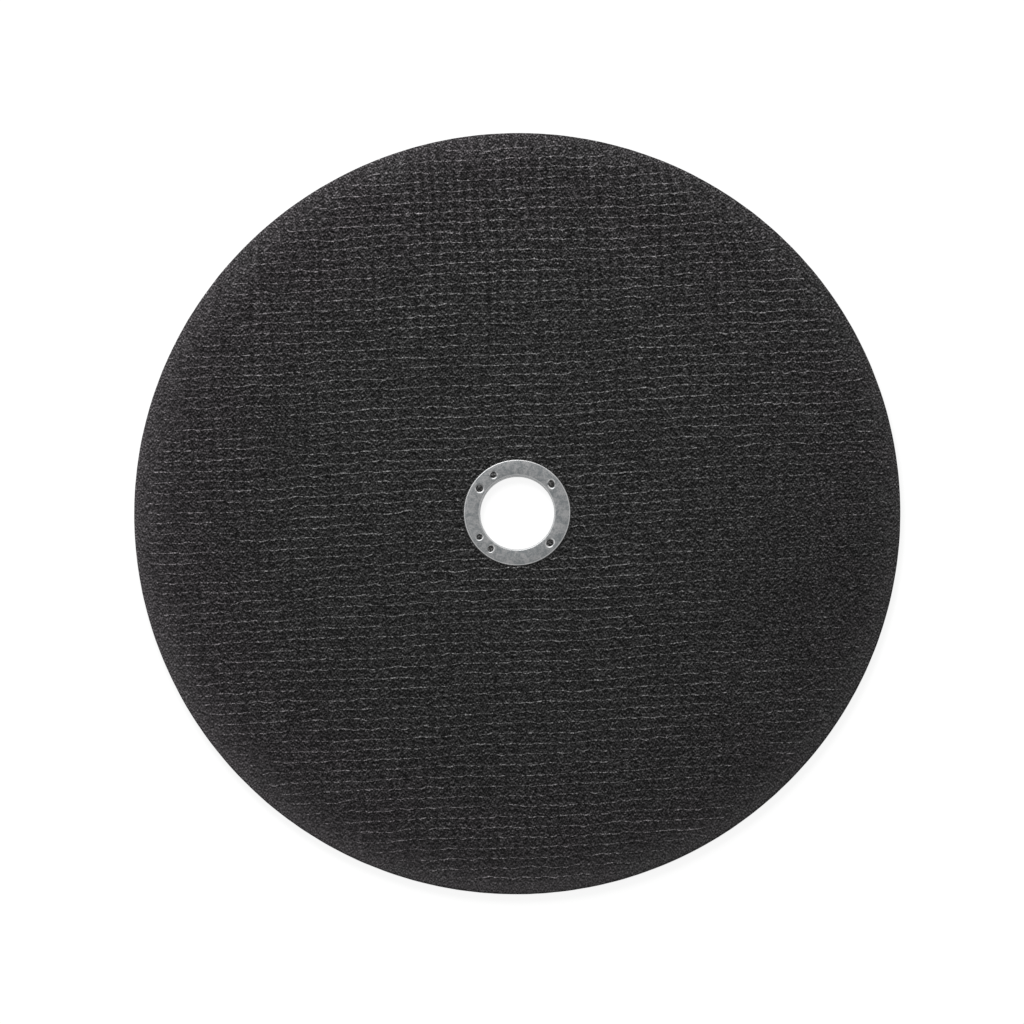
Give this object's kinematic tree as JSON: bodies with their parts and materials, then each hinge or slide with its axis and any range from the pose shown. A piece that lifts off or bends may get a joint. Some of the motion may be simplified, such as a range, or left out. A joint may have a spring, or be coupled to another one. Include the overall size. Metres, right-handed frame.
{
  "type": "cut-off wheel",
  "caption": "Thin round resin-bonded abrasive wheel, faced with woven glass net, with a flanged steel ring lining its centre bore; cuts metal on an angle grinder.",
  "frame": {"origin": "on the bore's axis, at the back face on which the wheel lies", "axes": "+Z along the bore's axis, out of the front face that carries the ring's flange; +X along the picture's horizontal, to the right; +Y towards the picture's top"},
  "size_m": [0.23, 0.23, 0.0032],
  "materials": {
    "abrasive": "matt black resin-bonded grain with woven glass net pressed into both faces",
    "zinc_steel": "zinc-plated pressed steel sheet, dull and slightly mottled"
  },
  "bodies": {
    "root": {"abrasive_disc": "abrasive", "arbor_ring": "zinc_steel"}
  },
  "joints": []
}
